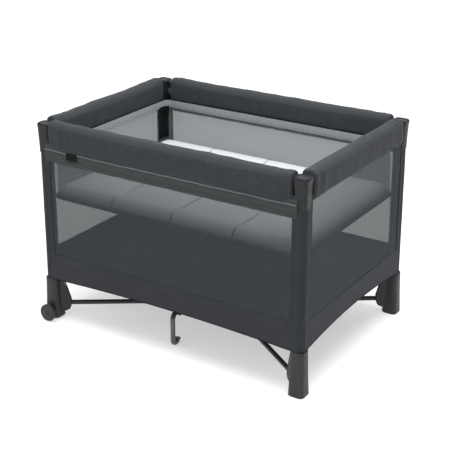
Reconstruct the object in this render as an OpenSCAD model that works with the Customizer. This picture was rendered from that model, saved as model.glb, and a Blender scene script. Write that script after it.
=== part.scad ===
// Folding travel play yard with a full-size bassinet insert and padded top rails.
// Origin at the middle of the floor footprint, +Z up, the long sides run along X.

/* [Frame] */
// Half of the distance between the corner posts along the long side
post_x = 480; // [420:1:560]
// Half of the distance between the corner posts along the short side
post_y = 330; // [290:1:400]
// Height of the corner cap tops above the floor
cap_top = 700; // [640:1:800]
// Outer radius of a corner post
post_r = 17; // [12:0.5:22]
// Outer radius of a top rail tube
rail_r = 10; // [8:0.5:13]
// Height of the rail pivots above the floor
rail_z = 684; // [620:1:780]
// Wall of the steel tubes
tube_wall = 1.2; // [0.8:0.1:2]

/* [Base linkage] */
// Outer radius of the base leg tubes
leg_r = 8; // [6:0.5:11]
// Height of the base leg pivots above the floor
leg_z = 50; // [40:1:70]
// Distance from the post axis to the leg pivot in a foot
foot_pivot = 42; // [38:1:60]
// Distance from the centre of the yard to the leg pivot in the hub
hub_pivot = 72; // [60:1:90]
// Height of the centre foot arms above the floor
jfoot_z = 116; // [100:1:130]
// Distance from the centre of the yard to the down tube of a centre foot
jfoot_y = 290; // [250:1:300]
// Sideways offset that lets the two centre feet pass each other when folded
jfoot_x = 12; // [10:0.5:16]

/* [Corners] */
// Radius of a corner cap at its rim
cap_r = 29.5; // [26:0.5:36]
// Height of a corner cap
cap_h = 98; // [80:1:120]
// Radius of a foot at the floor
foot_r = 33; // [28:0.5:40]
// Height of a foot
foot_h = 163; // [120:1:180]
// Radius of a wheel
wheel_r = 30; // [24:0.5:38]
// Width of a wheel
wheel_w = 16; // [12:0.5:22]

/* [Soft goods] */
// Height of a padded rail cover
pad_h = 90; // [70:1:120]
// Thickness of a padded rail cover
pad_t = 50; // [36:1:60]
// Height of the top of the padded rail covers
pad_top = 712; // [650:1:820]
// Height of the lower edge of the side fabric
skirt_z = 165; // [140:1:190]
// Height of the opaque band round the bottom
band_h = 80; // [50:1:120]

/* [Bassinet] */
// Height of the underside of the bassinet base
tub_z = 452; // [400:1:520]
// Height of the top edge of the bassinet walls
tub_top = 626; // [560:1:680]
// Half length of the bassinet
tub_x = 447; // [400:1:460]
// Half width of the bassinet
tub_y = 297; // [260:1:310]
// Corner radius of the bassinet
tub_r = 60; // [40:1:90]
// Thickness of the mattress
mat_t = 23; // [15:1:40]

/* [Hidden] */
$fn = 64;
alpha = atan2(post_y, post_x);
diag = sqrt(post_x * post_x + post_y * post_y);
set_s = foot_pivot + hub_pivot;
leg_l = diag - set_s;
latch_c = 15;
rail_ax = leg_l * cos(alpha);
rail_ay = leg_l * sin(alpha);
arm_x = set_s * cos(alpha) - latch_c;
arm_y = set_s * sin(alpha) - latch_c;
run = 0.05;
pin_r = 4;
latch_pin_r = 3;
open_run = 0.3;
wheel_in = 35.5;
wheel_dx = 3;
pad_mid = pad_top - pad_h / 2;
wall_in = 17.5;

// Mirrors a shape drawn in the +X +Y quarter into the quarter with these signs
module quarter(sx, sy) {
  mirror([sx < 0 ? 1 : 0, 0, 0]) mirror([0, sy < 0 ? 1 : 0, 0]) children();
}

// Places a shape on the post axis, its local X pointing inward along the diagonal
module at_post() {
  translate([post_x, post_y, 0]) rotate([0, 0, 180 + alpha]) children();
}

// Rounded rectangle, 2D
module round_rect(w, h, r) {
  square([w - 2 * r, h], center = true);
  square([w, h - 2 * r], center = true);
  for (x = [-1, 1], y = [-1, 1]) translate([x * (w / 2 - r), y * (h / 2 - r)]) circle(r);
}

// Cylinder along Y centred on the origin
module cyl_y(r, h) {
  rotate([90, 0, 0]) cylinder(r = r, h = h, center = true);
}

// Cylinder along X from x = a to x = b
module cyl_x(r, a, b) {
  translate([a, 0, 0]) rotate([0, 90, 0]) cylinder(r = r, h = b - a);
}

// Corner post: steel tube
module post(sx, sy) {
  color([0.25, 0.26, 0.28]) quarter(sx, sy) translate([post_x, post_y, 40])
    difference() {
      cylinder(r = post_r, h = cap_top - 12 - 40);
      translate([0, 0, -1]) cylinder(r = post_r - 1.5, h = cap_top);
    }
}

// A pair of bracket cheeks reaching inward along local -X from the cap to the rail pivot
module cap_arm(reach) {
  for (s = [-1, 1]) translate([-reach, s * 12.5, rail_z]) {
    translate([0, -2, -12]) cube([reach - 22, 4, 24]);
    cyl_y(12, 4);
  }
  translate([-reach + 17, -12.5, rail_z - 12]) cube([reach - 17 - 22, 25, 24]);
  translate([-reach, 0, rail_z]) cyl_y(pin_r, 28);
}

// Corner cap: moulded casting with two rail brackets
module cap(sx, sy) {
  color([0.22, 0.23, 0.25]) quarter(sx, sy) translate([post_x, post_y, 0]) difference() {
    union() {
      rotate_extrude() polygon([
        [0, cap_top - cap_h], [cap_r - 3.5, cap_top - cap_h], [cap_r - 2.5, cap_top - cap_h + 30],
        [cap_r - 0.5, cap_top - 14], [cap_r, cap_top - 7], [cap_r - 3.5, cap_top - 1.5],
        [cap_r - 6, cap_top], [cap_r - 11, cap_top], [cap_r - 12.5, cap_top - 2.5],
        [0, cap_top - 2.5]]);
      cap_arm(arm_x);
      rotate([0, 0, 90]) cap_arm(arm_y);
    }
    translate([0, 0, cap_top - cap_h - 1]) cylinder(r = post_r + 0.02, h = cap_h - 12 + 1);
  }
}

// Corner foot: socket round the post and two fins that hold the base leg
module foot(sx, sy) {
  lift = sx < 0 ? 4 : 0;
  color([0.2, 0.21, 0.23]) quarter(sx, sy) at_post() difference() {
    union() {
      rotate_extrude() polygon([
        [0, lift], [foot_r - 3, lift], [foot_r, lift + 4], [foot_r - 0.6, 20], [28.6, 42],
        [26.5, 80], [25, 130], [24.5, foot_h], [0, foot_h]]);
      for (s = [-1, 1]) translate([0, s * 11, 0]) rotate([90, 0, 0])
        linear_extrude(height = 5, center = true) polygon([
          [10, 150], [29, 150], [40, 112], [55, 60], [56, 42], [50, 30], [10, 10]]);
      translate([foot_pivot, 0, leg_z]) cyl_y(pin_r, 24);
    }
    translate([0, 0, 40]) cylinder(r = post_r + 0.02, h = foot_h);
    if (sx < 0) rotate([0, 0, 180 - alpha]) translate([-wheel_dx, 0, wheel_r])
      rotate([-90, 0, 0]) cylinder(r = pin_r + 0.02, h = 60);
  }
}

// Wheel on the outer face of a left foot
module wheel(sx, sy) {
  color([0.13, 0.13, 0.14]) quarter(sx, sy)
    translate([post_x - wheel_dx, post_y + wheel_in, wheel_r]) rotate([-90, 0, 0])
    difference() {
      union() {
        cylinder(r = wheel_r - 1.5, h = wheel_w);
        translate([0, 0, 1.5]) cylinder(r = wheel_r, h = wheel_w - 3);
      }
      translate([0, 0, wheel_w - 5]) difference() {
        cylinder(r = wheel_r - 6, h = 6);
        translate([0, 0, -1]) cylinder(r = 9.5, h = 8);
      }
      translate([0, 0, -1]) cylinder(r = pin_r + run, h = wheel_w + 2);
    }
}

// Steel axle with a domed head
module axle(sx, sy) {
  color([0.6, 0.6, 0.62]) quarter(sx, sy)
    translate([post_x - wheel_dx, post_y, wheel_r]) rotate([-90, 0, 0]) {
      translate([0, 0, 12]) cylinder(r = pin_r, h = wheel_in + wheel_w - 12 + 0.5);
      translate([0, 0, wheel_in + wheel_w + 0.4]) rotate_extrude()
        polygon([[0, 0], [7, 0], [6.6, 1.2], [5, 2.1], [0, 2.4]]);
    }
}

// Tube along local X from one eye at x = 0 to another at x = l
module eye_tube(l, r, eye, wide, bore_a, bore_b) {
  difference() {
    union() {
      cyl_x(r, 0, l);
      cyl_y(eye, wide);
      translate([l, 0, 0]) cyl_y(eye, wide);
    }
    cyl_x(r - tube_wall, 26, l - 26);
    translate([40, 0, -r - 1]) cylinder(r = 2, h = r);
    cyl_y(bore_a, wide + 4);
    translate([l, 0, 0]) cyl_y(bore_b, wide + 4);
  }
}

// Base leg: steel tube from a corner foot to the centre hub
module leg(sx, sy) {
  color([0.3, 0.31, 0.33]) translate([sx * post_x, sy * post_y, leg_z])
    rotate([0, 0, atan2(-sy * post_y, -sx * post_x)]) translate([foot_pivot, 0, 0])
    eye_tube(leg_l, leg_r, 11, 16, pin_r + run, pin_r + run);
}

// One clevis of the hub, local X pointing outward
module hub_clevis() {
  for (s = [-1, 1]) translate([20, s * 11 - 2.5, leg_z - 13]) cube([hub_pivot - 20, 5, 29]);
  for (s = [-1, 1]) translate([hub_pivot, s * 11, leg_z]) {
    cyl_y(13, 5);
    translate([0, -2.5, 0]) cube([13, 5, 16]);
  }
  translate([20, -13.5, leg_z + 12]) cube([hub_pivot - 7, 27, 4]);
  translate([hub_pivot, 0, leg_z]) cyl_y(pin_r, 24);
}

// One clevis for a centre foot, drawn for the rear one, local Y pointing outward
module jfoot_clevis() {
  translate([jfoot_x, 0, 0]) {
    for (s = [-1, 1]) translate([s * 10.75 - 2.25, 20, jfoot_z - 11]) cube([4.5, 25, 25]);
    for (s = [-1, 1]) translate([s * 10.75, 45, jfoot_z]) rotate([0, 90, 0])
      cylinder(r = 11, h = 4.5, center = true);
    translate([-13, 20, jfoot_z + 11]) cube([26, 30, 3]);
    translate([0, 45, jfoot_z]) rotate([0, 90, 0]) cylinder(r = pin_r, h = 23, center = true);
  }
}

// Centre hub: one moulding with four leg clevises and two centre foot clevises
module hub_housing() {
  color([0.2, 0.21, 0.23]) {
    difference() {
      translate([0, 0, leg_z - 16]) cylinder(r = 34, h = jfoot_z + 14 - leg_z + 16);
      translate([0, 0, leg_z - 17]) cylinder(r = 26, h = 60);
    }
    for (a = [alpha, 180 - alpha, 180 + alpha, -alpha]) rotate([0, 0, a])
      hub_clevis();
    jfoot_clevis();
    rotate([0, 0, 180]) jfoot_clevis();
  }
}

// Cover on top of the hub
module hub_cover() {
  color([0.26, 0.27, 0.29]) rotate_extrude() polygon([
    [0, jfoot_z + 14], [38, jfoot_z + 14], [38, jfoot_z + 16.5], [34, jfoot_z + 18.5],
    [26, jfoot_z + 19.5], [0, jfoot_z + 20]]);
}

// Webbing loop that pulls the hub up to fold the yard
module lift_strap() {
  color([0.5, 0.05, 0.05]) translate([0, 12, jfoot_z + 19.8]) rotate([90, 0, 0])
    linear_extrude(height = 24) intersection() {
      difference() {
        circle(21);
        circle(19);
      }
      translate([-30, 0.2]) square([60, 40]);
    }
}

// Centre foot: arm from the hub, down tube and a curled end on the floor, with a moulded clip
module centre_foot(s) {
  bend = 22;
  curl = 14;
  low = leg_r + curl + 0.2;
  color([0.3, 0.31, 0.33]) rotate([0, 0, s > 0 ? 0 : 180]) translate([jfoot_x, 0, 0]) {
    difference() {
      union() {
        translate([0, 45, jfoot_z]) rotate([-90, 0, 0])
          cylinder(r = leg_r, h = jfoot_y - bend - 45 + 2);
        translate([0, 45, jfoot_z]) rotate([0, 90, 0])
          cylinder(r = 10, h = 16.4, center = true);
      }
      translate([0, 45, jfoot_z]) rotate([0, 90, 0])
        cylinder(r = pin_r + run, h = 30, center = true);
      translate([0, 70, jfoot_z]) rotate([-90, 0, 0])
        cylinder(r = leg_r - tube_wall, h = jfoot_y - bend - 130);
      translate([0, 90, jfoot_z - leg_r - 1]) cylinder(r = 2, h = leg_r);
    }
    translate([0, jfoot_y - bend, jfoot_z - bend]) rotate([90, 0, 90])
      rotate_extrude(angle = 90) translate([bend, 0]) circle(leg_r + 0.2);
    translate([0, jfoot_y, low - 2]) cylinder(r = leg_r, h = jfoot_z - bend - low + 4);
    translate([0, jfoot_y - curl, low]) rotate([90, 0, 90]) rotate([0, 0, -160])
      rotate_extrude(angle = 160) translate([curl, 0]) circle(leg_r + 0.2);
    translate([0, jfoot_y - curl - curl * cos(20), low - curl * sin(20)])
      rotate([20, 0, 0]) translate([0, 0, -1]) cylinder(r = leg_r + 1.2, h = 5);
    difference() {
      translate([-13, jfoot_y - 50, jfoot_z - 12]) cube([26, 26, 54]);
      translate([0, jfoot_y - 60, jfoot_z]) rotate([-90, 0, 0])
        cylinder(r = leg_r - 0.6, h = 50);
      translate([-14, jfoot_y - 46, jfoot_z + 13]) cube([28, 18, 24]);
    }
  }
}

// Half of a long top rail, from the corner bracket to the centre latch
module rail_x(sx, sy, open_end) {
  color([0.55, 0.56, 0.58]) translate([sx * (post_x - arm_x), sy * post_y, rail_z])
    rotate([0, 0, sx > 0 ? 180 : 0]) eye_tube(rail_ax, rail_r, rail_r, 20, pin_r + run,
                                 latch_pin_r + (open_end ? open_run : run));
}

// Half of a short top rail
module rail_y(sx, sy, open_end) {
  color([0.55, 0.56, 0.58]) translate([sx * post_x, sy * (post_y - arm_y), rail_z])
    rotate([0, 0, sy > 0 ? -90 : 90]) eye_tube(rail_ay, rail_r, rail_r, 20, pin_r + run,
                                 latch_pin_r + (open_end ? open_run : run));
}

// Centre latch: channel open at the top that joins two rail halves, drawn along local X
module latch_shape() {
  difference() {
    union() {
      for (s = [-1, 1]) translate([-latch_c, s * 12 - 1.5, -14]) cube([2 * latch_c, 3, 26]);
      for (s = [-1, 1], t = [-1, 1]) translate([t * latch_c, s * 12, 0]) cyl_y(12, 3);
      for (s = [-1, 1], t = [-1, 1]) translate([t * latch_c - 6, s * 12 - 1.5, -14]) cube([12, 3, 6]);
      translate([-21, -12, -14]) cube([42, 24, 3.5]);
      translate([-4, -12, -12]) cube([8, 24, 20]);
      for (t = [-1, 1]) translate([t * latch_c, 0, 0]) cyl_y(latch_pin_r, 26);
    }
    translate([0, 0, -16]) cylinder(r = 2.6, h = 14);
  }
}

// Spring-loaded release button under a latch
module button_shape() {
  translate([-10, -9, -22]) cube([20, 18, 4.5]);
  translate([0, 0, -18]) cylinder(r = 2.5, h = 10);
}

module on_side_x(sy) {
  translate([0, sy * post_y, rail_z]) children();
}

module on_side_y(sx) {
  translate([sx * post_x, 0, rail_z]) rotate([0, 0, 90]) children();
}

// Foam-lined fabric tube round a rail half, drawn along local X from x = 0 to x = l
module pad_shape(l, rib_a, rib_b) {
  difference() {
    rotate([90, 0, 90]) linear_extrude(height = l) round_rect(pad_t, pad_h, 20);
    difference() {
      translate([-1, 0, 0]) rotate([90, 0, 90])
        linear_extrude(height = l + 2) round_rect(pad_t - 10, pad_h - 10, 15);
      for (x = [rib_a, rib_b]) translate([x, -pad_t, -pad_h]) cube([8, 2 * pad_t, 2 * pad_h]);
    }
    translate([0, 0, rail_z - pad_mid]) cyl_x(rail_r + 0.02, -1, l + 1);
  }
}

module pad_x(sx, sy) {
  color([0.27, 0.28, 0.31]) quarter(sx, sy) translate([0.25, post_y, pad_mid])
    pad_shape(post_x - cap_r - 1.75, 60, rail_ax - 60);
}

module pad_y(sx, sy) {
  color([0.27, 0.28, 0.31]) quarter(sx, sy) translate([post_x, 0.25, pad_mid])
    rotate([0, 0, 90]) pad_shape(post_y - cap_r - 1.75, 50, rail_ay - 50);
}

// Outline of the side fabric of one quarter: post sleeve and two half walls
module cover_outline(t) {
  translate([post_x, post_y]) difference() {
    circle(22.5);
    circle(20);
  }
  translate([0.25, post_y + wall_in]) square([post_x - 0.25, t]);
  translate([post_x + wall_in, 0.25]) square([t, post_y - 0.25]);
}

// Side fabric of one quarter: mesh above, opaque band below, sleeve round the post
module cover(sx, sy) {
  color([0.33, 0.34, 0.36]) quarter(sx, sy) {
    translate([0, 0, skirt_z]) linear_extrude(height = cap_top - cap_h - 1 - skirt_z)
      cover_outline(1.5);
    translate([0, 0, skirt_z]) linear_extrude(height = band_h) cover_outline(2.5);
    translate([0, 0, cap_top - cap_h - 2])
      linear_extrude(height = pad_top - pad_h - 0.5 - cap_top + cap_h + 2) {
        translate([0.25, post_y + wall_in]) square([post_x - cap_r - 3, 1.5]);
        translate([post_x + wall_in, 0.25]) square([1.5, post_y - cap_r - 3]);
      }
  }
}

// Floor cloth with a stiff board, one quarter
module floor_panel(sx, sy) {
  color([0.2, 0.21, 0.23]) quarter(sx, sy) translate([0, 0, skirt_z - 5]) difference() {
    translate([0.25, 0.25, 0]) cube([post_x + wall_in - 1.5, post_y + wall_in - 1.5, 3]);
    translate([post_x, post_y, -1]) cylinder(r = 30, h = 5);
    translate([post_x, post_y, -1]) cube([40, 40, 5]);
  }
}

// Bassinet: thin-walled fabric tub with a board base
module bassinet_tub() {
  color([0.75, 0.77, 0.78]) translate([0, 0, tub_z]) difference() {
    linear_extrude(height = tub_top - tub_z) round_rect(2 * tub_x, 2 * tub_y, tub_r);
    translate([0, 0, 6]) linear_extrude(height = tub_top)
      round_rect(2 * tub_x - 4, 2 * tub_y - 4, tub_r - 2);
  }
}

// Steel rods under the bassinet base
module bassinet_rods() {
  color([0.3, 0.3, 0.32]) translate([0, 0, tub_z - 5.2]) {
    for (s = [-1, 1]) translate([0, s * (tub_y - 14), 0]) cyl_x(5, -tub_x + 66, tub_x - 66);
    for (s = [-1, 1]) translate([s * (tub_x - 14), 0, 0]) cyl_y(5, 2 * tub_y - 132);
  }
}

// Mattress: four padded panels on one backing, so that it folds
module mattress() {
  w = (2 * tub_x - 10) / 4;
  color([0.86, 0.87, 0.88]) translate([0, 0, tub_z + 6.2]) difference() {
    linear_extrude(height = mat_t) round_rect(2 * tub_x - 10, 2 * tub_y - 10, tub_r - 5);
    for (i = [-1, 0, 1]) translate([i * w - 2, -tub_y, 3]) cube([4, 2 * tub_y, mat_t]);
  }
}

post(-1, -1);  // post_fl
post(1, -1);  // post_fr
post(1, 1);  // post_br
post(-1, 1);  // post_bl
cap(-1, -1);  // cap_fl
cap(1, -1);  // cap_fr
cap(1, 1);  // cap_br
cap(-1, 1);  // cap_bl
foot(-1, -1);  // foot_fl
foot(1, -1);  // foot_fr
foot(1, 1);  // foot_br
foot(-1, 1);  // foot_bl
wheel(-1, -1);  // wheel_fl
wheel(-1, 1);  // wheel_bl
axle(-1, -1);  // axle_fl
axle(-1, 1);  // axle_bl
leg(-1, -1);  // leg_fl
leg(1, -1);  // leg_fr
leg(1, 1);  // leg_br
leg(-1, 1);  // leg_bl
hub_housing();
hub_cover();
lift_strap();
centre_foot(-1);  // centre_foot_f
centre_foot(1);  // centre_foot_b
rail_x(-1, -1, false);  // rail_fl_x
rail_x(1, -1, true);  // rail_fr_x
rail_x(1, 1, true);  // rail_br_x
rail_x(-1, 1, false);  // rail_bl_x
rail_y(-1, -1, false);  // rail_fl_y
rail_y(1, -1, false);  // rail_fr_y
rail_y(1, 1, true);  // rail_br_y
rail_y(-1, 1, true);  // rail_bl_y
color([0.2, 0.21, 0.22]) on_side_x(-1) latch_shape();  // latch_f
color([0.2, 0.21, 0.22]) on_side_y(1) latch_shape();  // latch_r
color([0.2, 0.21, 0.22]) on_side_x(1) latch_shape();  // latch_b
color([0.2, 0.21, 0.22]) on_side_y(-1) latch_shape();  // latch_l
color([0.6, 0.1, 0.1]) on_side_x(-1) button_shape();  // button_f
color([0.6, 0.1, 0.1]) on_side_y(1) button_shape();  // button_r
color([0.6, 0.1, 0.1]) on_side_x(1) button_shape();  // button_b
color([0.6, 0.1, 0.1]) on_side_y(-1) button_shape();  // button_l
pad_x(-1, -1);  // pad_fl_x
pad_x(1, -1);  // pad_fr_x
pad_x(1, 1);  // pad_br_x
pad_x(-1, 1);  // pad_bl_x
pad_y(-1, -1);  // pad_fl_y
pad_y(1, -1);  // pad_fr_y
pad_y(1, 1);  // pad_br_y
pad_y(-1, 1);  // pad_bl_y
cover(-1, -1);  // cover_fl
cover(1, -1);  // cover_fr
cover(1, 1);  // cover_br
cover(-1, 1);  // cover_bl
floor_panel(-1, -1);  // floor_fl
floor_panel(1, -1);  // floor_fr
floor_panel(1, 1);  // floor_br
floor_panel(-1, 1);  // floor_bl
bassinet_tub();
bassinet_rods();
mattress();
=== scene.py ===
"""A folding travel play yard: fabric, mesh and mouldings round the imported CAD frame.

Lengths are in metres in the CAD's own frame: +Z up, long sides along X, front towards -Y.
"""
import math

import bmesh
import bpy
from mathutils import Matrix, Vector, noise


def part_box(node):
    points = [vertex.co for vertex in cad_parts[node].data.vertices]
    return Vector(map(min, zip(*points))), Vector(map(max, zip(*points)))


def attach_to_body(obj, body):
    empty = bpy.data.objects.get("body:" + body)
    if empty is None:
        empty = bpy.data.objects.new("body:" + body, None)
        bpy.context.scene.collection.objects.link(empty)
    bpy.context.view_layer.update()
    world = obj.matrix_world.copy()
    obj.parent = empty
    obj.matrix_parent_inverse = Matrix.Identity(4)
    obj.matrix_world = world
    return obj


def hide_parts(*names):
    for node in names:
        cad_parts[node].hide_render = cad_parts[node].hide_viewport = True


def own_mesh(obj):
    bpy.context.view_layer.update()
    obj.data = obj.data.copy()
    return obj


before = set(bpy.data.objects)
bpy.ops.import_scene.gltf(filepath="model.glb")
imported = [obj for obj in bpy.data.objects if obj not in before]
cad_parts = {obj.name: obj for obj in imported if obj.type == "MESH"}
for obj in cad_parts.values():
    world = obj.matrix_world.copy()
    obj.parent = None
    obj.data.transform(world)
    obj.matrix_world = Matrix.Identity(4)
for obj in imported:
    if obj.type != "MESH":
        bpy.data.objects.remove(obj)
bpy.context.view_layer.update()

# ---------------------------------------------------------------- sizes and places

CORNERS = {"fl": (-1, -1), "fr": (1, -1), "br": (1, 1), "bl": (-1, 1)}
FRONT_RIGHT = sum(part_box("post_fr"), Vector()) / 2            # the middle of the front right post
POST_X, POST_Y = FRONT_RIGHT.x, -FRONT_RIGHT.y
PAD_LOW, PAD_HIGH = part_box("pad_br_x")
PAD_Y_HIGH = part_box("pad_br_y")[1]
PAD_Z = (PAD_LOW.z + PAD_HIGH.z) / 2
ROLL_T, ROLL_H = PAD_HIGH.y - PAD_LOW.y, PAD_HIGH.z - PAD_LOW.z
RAIL_Z = sum(v.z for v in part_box("rail_br_x")) / 2
CAP_LOW, CAP_HIGH = (v.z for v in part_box("cap_fr"))
SKIRT_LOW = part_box("cover_fr")[0].z - 0.016                   # the side fabric's lower edge at the posts
FLOOR_LOW, FLOOR_HIGH = (v.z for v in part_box("floor_fr"))
TUB_LOW, TUB_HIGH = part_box("bassinet_tub")
MAT_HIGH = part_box("mattress")[1]
HUB_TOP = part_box("hub_cover")[1].z
STRAP_LOW, STRAP_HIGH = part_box("lift_strap")
LEG_Z = 0.050                                                 # the legs' pins in the feet

ROLL_OVER = 0.0035         # how far a padded roll runs past its CAD solid towards the cap
ROLL_SHARES = {"f": 1.0, "b": 0.985, "l": 0.990, "r": 0.990}  # of its length that each side's cover keeps
REAR_LEFT_SHARE = 0.962    # both covers stop shorter still at the rear left cap

WALL_OUT = 0.0178          # from the post line out to the side fabric
BAND_TOP = 0.245           # top of the opaque band at the bottom
NET_TOP = PAD_LOW.z + 0.022                                   # the netting runs up inside the padded rolls
NET_END = 0.010            # the netting ends this far before the post line
BAND_END = 0.006
STRIP_END = 0.008
HEM_END = 0.016
SLEEVE_R = 0.0202          # fabric sleeve round a post
ZIP_DEPTH = 0.047          # zipped strip under the long rolls
ZIP_RISE = 0.012           # and how far it runs up behind the roll

FLOOR_CUT = 0.0235         # radius of the cut-out round a post in the floor cloth
FLOOR_TURN = 0.07          # width of the floor cloth's upturned rim
FLOOR_LIFT = 0.006         # least height of that rim

TUB_R = 0.028              # plan radius of the bassinet's corners
INSERT_X, INSERT_Y = TUB_HIGH.x + 0.022, TUB_HIGH.y + 0.026   # the insert's fabric at its base
NECK_X, NECK_Y = TUB_HIGH.x + 0.008, TUB_HIGH.y + 0.0075      # and where it goes up between the rolls
BASE_LOW = TUB_LOW.z - 0.011
BOARD = 0.006              # the insert's base board
WALL_SHARES = 260          # points round the insert
AROUND = 4 * (INSERT_X + INSERT_Y) - 8 * TUB_R + 2 * math.pi * TUB_R
PATCH_W = 0.060            # the dark patch on the insert's left wall
PATCH_TOP = TUB_HIGH.z - 0.020
HEM_RISE, HEM_DROP = 0.005, 0.024                             # the gathered hem above and below the tub's top

MAT_X, MAT_Y = MAT_HIGH.x + 0.020, MAT_HIGH.y + 0.024         # the padded mattress in the insert
MAT_PANEL = MAT_X / 2                                         # four stitched panels side by side
MAT_SEAMS = (-MAT_PANEL, 0.0, MAT_PANEL)
MAT_EDGE = 0.036           # how far in the rounded edge reaches
SEAM_W = 0.008             # half width of a groove along a seam
TUFT_IN = 0.038            # from the mattress's long edge in to the tufts

# ---------------------------------------------------------------- materials


def linear(*rgb):
    """0 to 255 screen values as a linear colour."""
    def one(v):
        v /= 255
        return v / 12.92 if v <= 0.04045 else ((v + 0.055) / 1.055) ** 2.4
    return (*(one(v) for v in rgb), 1.0)


class Look:
    """A Principled material that is built up by adding patterns in object coordinates."""

    def __init__(self, name, roughness, specular=0.5):
        self.material = bpy.data.materials.new(name)
        self.material.use_nodes = True
        self.tree = self.material.node_tree
        self.shader = self.tree.nodes["Principled BSDF"]
        self.shader.inputs["Roughness"].default_value = roughness
        self.shader.inputs["Specular IOR Level"].default_value = specular
        self.where = self.tree.nodes.new("ShaderNodeTexCoord").outputs["Object"]
        self.bump = None

    def link(self, a, b):
        self.tree.links.new(a, b)

    def noise(self, scale, detail=2.0, stretch=(1, 1, 1)):
        grain = self.tree.nodes.new("ShaderNodeTexNoise")
        grain.inputs["Scale"].default_value = scale
        grain.inputs["Detail"].default_value = detail
        turn = self.tree.nodes.new("ShaderNodeMapping")
        turn.inputs["Scale"].default_value = stretch
        self.link(self.where, turn.inputs["Vector"])
        self.link(turn.outputs["Vector"], grain.inputs["Vector"])
        return grain.outputs["Fac"]

    def cells(self, pitch):
        """A regular grid of cells, the thread crossings of a cloth."""
        grid = self.tree.nodes.new("ShaderNodeTexVoronoi")
        grid.inputs["Scale"].default_value = 1 / pitch
        grid.inputs["Randomness"].default_value = 0.0
        self.link(self.where, grid.inputs["Vector"])
        return grid.outputs["Distance"]

    def spread(self, value, low, high, a=0.0, b=1.0):
        change = self.tree.nodes.new("ShaderNodeMapRange")
        for name, number in (("From Min", low), ("From Max", high), ("To Min", a), ("To Max", b)):
            change.inputs[name].default_value = number
        self.link(value, change.inputs["Value"])
        return change.outputs["Result"]

    def mix(self, factor, first, second):
        blend = self.tree.nodes.new("ShaderNodeMix")
        blend.data_type = "RGBA"
        self.link(factor, blend.inputs["Factor"])
        for socket, colour in (("A", first), ("B", second)):
            where = [s for s in blend.inputs if s.name == socket and s.type == "RGBA"][0]
            if isinstance(colour, bpy.types.NodeSocket):
                self.link(colour, where)
            else:
                where.default_value = colour
        return [s for s in blend.outputs if s.type == "RGBA"][0]

    def paint(self, colour):
        self.link(colour, self.shader.inputs["Base Color"])

    def rough(self, value):
        self.link(value, self.shader.inputs["Roughness"])

    def relief(self, height, strength, depth):
        bump = self.tree.nodes.new("ShaderNodeBump")
        bump.inputs["Strength"].default_value = strength
        bump.inputs["Distance"].default_value = depth
        self.link(height, bump.inputs["Height"])
        if self.bump:
            self.link(self.bump, bump.inputs["Normal"])
        self.bump = bump.outputs["Normal"]
        self.link(self.bump, self.shader.inputs["Normal"])


def shade(colour, share):
    return (*(c * share for c in colour[:3]), 1.0)


def woven(name, colour, pitch=0.0011, mottle=0.12, sheen=0.25):
    """Close polyester weave with a slight melange and a soft sheen."""
    look = Look(name, 0.82, 0.15)
    look.shader.inputs["Sheen Weight"].default_value = sheen
    look.shader.inputs["Sheen Roughness"].default_value = 0.45
    thread = look.spread(look.cells(pitch), 0.0, 0.7)
    melange = look.mix(look.spread(look.noise(700, 3), 0.3, 0.7),
                       shade(colour, 1 - mottle), shade(colour, 1 + mottle))
    patchy = look.mix(look.spread(look.noise(9, 3), 0.35, 0.65), melange,
                      shade(colour, 1 + 0.6 * mottle))
    look.paint(look.mix(thread, patchy, shade(colour, 0.72)))
    look.rough(look.spread(look.noise(60, 2), 0.3, 0.7, 0.76, 0.90))
    look.relief(look.cells(pitch), 0.35, 0.0004)
    look.relief(look.noise(55, 4), 0.22, 0.0018)
    return look.material


def netting(name, colour, cover, pitch=0.0022, sheen=0.1):
    """Knitted mesh: its threads cover a share of what lies behind it."""
    look = Look(name, 0.75, 0.3)
    look.shader.inputs["Alpha"].default_value = cover
    look.shader.inputs["Sheen Weight"].default_value = sheen
    knots = look.spread(look.cells(pitch), 0.15, 0.75)
    streaks = look.mix(look.spread(look.noise(16, 2, (1, 1, 0.2)), 0.3, 0.7),
                       shade(colour, 0.97), shade(colour, 1.04))
    look.paint(look.mix(knots, streaks, shade(colour, 0.86)))
    look.rough(look.spread(look.noise(200, 2), 0.3, 0.7, 0.68, 0.86))
    look.relief(look.cells(pitch), 0.12, 0.0004)
    return look.material


def moulded(name, colour, roughness=0.46, scuffs=0.0):
    """Satin moulded plastic with a fine grain; scuffs lighten it near the floor."""
    look = Look(name, roughness, 0.32)
    tint = look.mix(look.spread(look.noise(14, 4), 0.3, 0.7),
                    shade(colour, 0.9), shade(colour, 1.12))
    if scuffs:
        rubbed = look.spread(look.noise(160, 5, (1, 1, 0.25)), 0.56, 0.70, 0.0, scuffs)
        tint = look.mix(rubbed, tint, shade(colour, 2.2))
    look.paint(tint)
    look.rough(look.spread(look.noise(45, 4), 0.3, 0.7, roughness - 0.07, roughness + 0.1))
    look.relief(look.noise(1500, 2), 0.12, 0.0003)
    return look.material


def coated(name, colour, roughness=0.38):
    """Powder-coated steel tube with faint orange peel."""
    look = Look(name, roughness, 0.35)
    look.shader.inputs["Coat Weight"].default_value = 0.15
    look.paint(look.mix(look.spread(look.noise(22, 4), 0.3, 0.7),
                        shade(colour, 0.9), shade(colour, 1.1)))
    look.rough(look.spread(look.noise(90, 3), 0.3, 0.7, roughness - 0.05, roughness + 0.1))
    look.relief(look.noise(420, 2), 0.10, 0.0004)
    return look.material


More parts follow.
